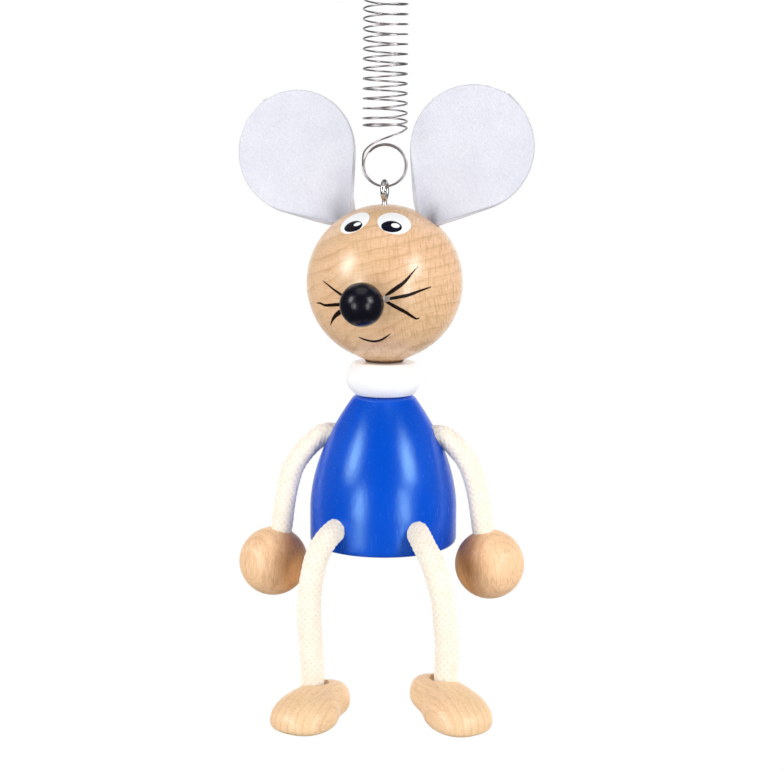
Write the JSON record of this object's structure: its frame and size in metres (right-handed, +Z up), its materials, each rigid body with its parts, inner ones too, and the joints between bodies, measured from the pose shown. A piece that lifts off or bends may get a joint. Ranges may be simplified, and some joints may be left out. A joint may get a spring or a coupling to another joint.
{
  "type": "bouncing spring mouse",
  "caption": "Wooden mouse figure with felt ears, a bell-shaped body and cord limbs, hung by a screw eye from a long wire coil spring with looped ends.",
  "frame": {"origin": "the point inside the top of the spring's upper loop where a hook bears; the spring's axis runs straight down from it", "axes": "+Z up along the spring, the mouse faces -Y, and its own left side is at +X"},
  "size_m": [0.069, 0.0578, 0.2172],
  "materials": {
    "spring_wire": "satin",
    "screw_eye_plate": "polished",
    "lacquered_beech": "satin",
    "plain_dowel": "matte",
    "blue_lacquer": "gloss",
    "white_lacquer": "gloss",
    "black_lacquer": "gloss",
    "grey_white_felt": "matte",
    "natural_cotton": "matte"
  },
  "bodies": {
    "hanger": {"spring_top_loop": "spring_wire"},
    "spring": {"spring_coil": "spring_wire"},
    "spring_end": {"spring_bottom_loop": "spring_wire"},
    "figure": {"screw_eye": "screw_eye_plate", "head": "lacquered_beech", "left_ear": "grey_white_felt", "right_ear": "grey_white_felt", "nose": "black_lacquer", "nose_peg": "plain_dowel", "collar": "white_lacquer", "neck_dowel": "plain_dowel", "torso": "blue_lacquer"},
    "left_arm": {"left_arm_cord": "natural_cotton", "left_hand": "lacquered_beech"},
    "right_arm": {"right_arm_cord": "natural_cotton", "right_hand": "lacquered_beech"},
    "left_leg": {"left_leg_cord": "natural_cotton", "left_foot": "lacquered_beech"},
    "right_leg": {"right_leg_cord": "natural_cotton", "right_foot": "lacquered_beech"}
  },
  "joints": [
    {"name": "spring_sway", "type": "hinge", "parent": "hanger", "child": "spring", "pos_m": [0, 0, -0.01285], "axis": [0, 1, 0], "range_deg": [-25, 25]},
    {"name": "bounce", "type": "slide", "parent": "spring", "child": "spring_end", "axis": [0, 0, 1], "range_m": [-0.06, 0.04], "stiffness_N_per_m": 8.14, "springref_m": 0.0423, "deforming": ["spring_coil"]},
    {"name": "figure_swing", "type": "hinge", "parent": "spring_end", "child": "figure", "pos_m": [0, 0, -0.09878], "axis": [1, 0, 0], "range_deg": [-45, 45]},
    {"name": "left_arm_flex", "type": "hinge", "parent": "figure", "child": "left_arm", "pos_m": [0.0136, 0.0014, -0.15637], "axis": [0, -1, 0], "range_deg": [-3, 100], "stiffness_Nm_per_rad": 0.0003, "springref_deg": 28.02, "deforming": ["left_arm_cord"]},
    {"name": "right_arm_flex", "type": "hinge", "parent": "figure", "child": "right_arm", "pos_m": [-0.0136, 0.0014, -0.15637], "axis": [0, 1, 0], "range_deg": [-3, 100], "stiffness_Nm_per_rad": 0.0003, "springref_deg": 27.96, "deforming": ["right_arm_cord"]},
    {"name": "left_leg_flex", "type": "hinge", "parent": "figure", "child": "left_leg", "pos_m": [0.0093, -0.0131, -0.17617], "axis": [-1, 0, 0], "range_deg": [-15, 90], "stiffness_Nm_per_rad": 0.0003, "springref_deg": 27.39, "deforming": ["left_leg_cord"]},
    {"name": "right_leg_flex", "type": "hinge", "parent": "figure", "child": "right_leg", "pos_m": [-0.0094, -0.013, -0.17617], "axis": [-1, 0, 0], "range_deg": [-15, 90], "stiffness_Nm_per_rad": 0.0003, "springref_deg": 28.07, "deforming": ["right_leg_cord"]}
  ]
}
